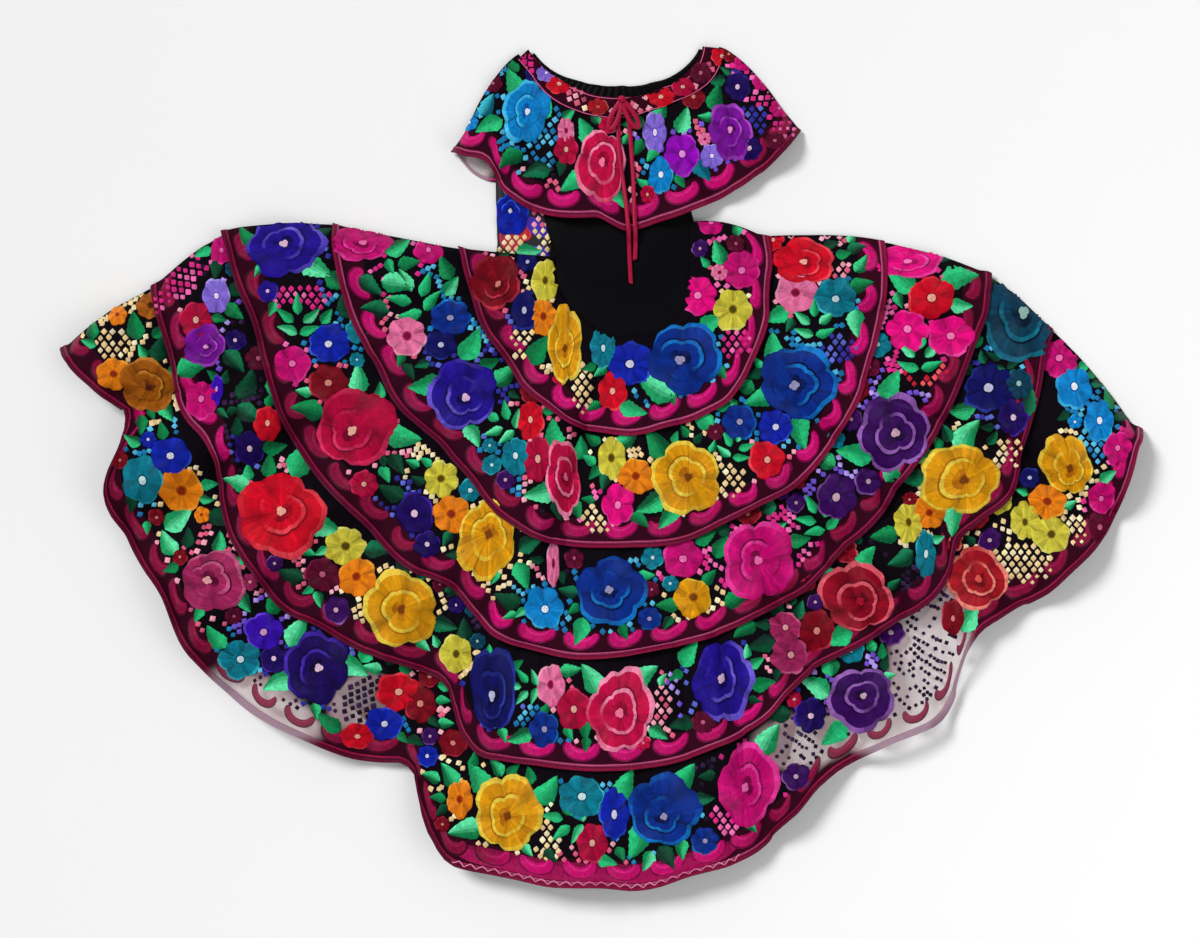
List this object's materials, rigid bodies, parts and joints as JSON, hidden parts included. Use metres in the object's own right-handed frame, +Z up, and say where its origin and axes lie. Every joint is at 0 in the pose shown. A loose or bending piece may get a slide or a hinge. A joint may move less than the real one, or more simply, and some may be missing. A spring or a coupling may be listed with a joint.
{
  "type": "chiapaneca dress",
  "caption": "Embroidered off-the-shoulder folk dress with a collar flounce, satin bodice and tiered fan skirt, laid out flat face up.",
  "frame": {"origin": "centre of the bounding box on the surface that the dress lies on", "axes": "+X to the wearer's left, +Y towards the neck, +Z up from the surface, out of the front of the dress"},
  "size_m": [1.9388, 1.5066, 0.0764],
  "materials": {
    "embroidered_tulle": "black tulle covered in bright silk embroidery of flowers and leaves, satin sheen on the thread",
    "band_embroidery": "black tulle band with dense silk flowers and pink stitched edges",
    "black_satin": "black satin, soft sheen",
    "red_ribbon": "crimson satin ribbon"
  },
  "bodies": {
    "root": {"neckband_front": "band_embroidery", "neckband_back": "black_satin", "collar_flounce_front": "embroidered_tulle", "collar_flounce_back": "embroidered_tulle", "bodice_front": "black_satin", "bodice_back": "black_satin", "skirt_tier_1_front": "embroidered_tulle", "skirt_tier_2_front": "embroidered_tulle", "skirt_tier_3_front": "embroidered_tulle", "skirt_tier_4_front": "embroidered_tulle", "skirt_tier_5_front": "embroidered_tulle", "skirt_tier_1_back": "embroidered_tulle", "skirt_tier_2_back": "embroidered_tulle", "skirt_tier_3_back": "embroidered_tulle", "skirt_tier_4_back": "embroidered_tulle", "skirt_tier_5_back": "embroidered_tulle", "drawstring_bow": "red_ribbon", "drawstring_end_short": "red_ribbon", "drawstring_end_long": "red_ribbon"}
  },
  "joints": []
}
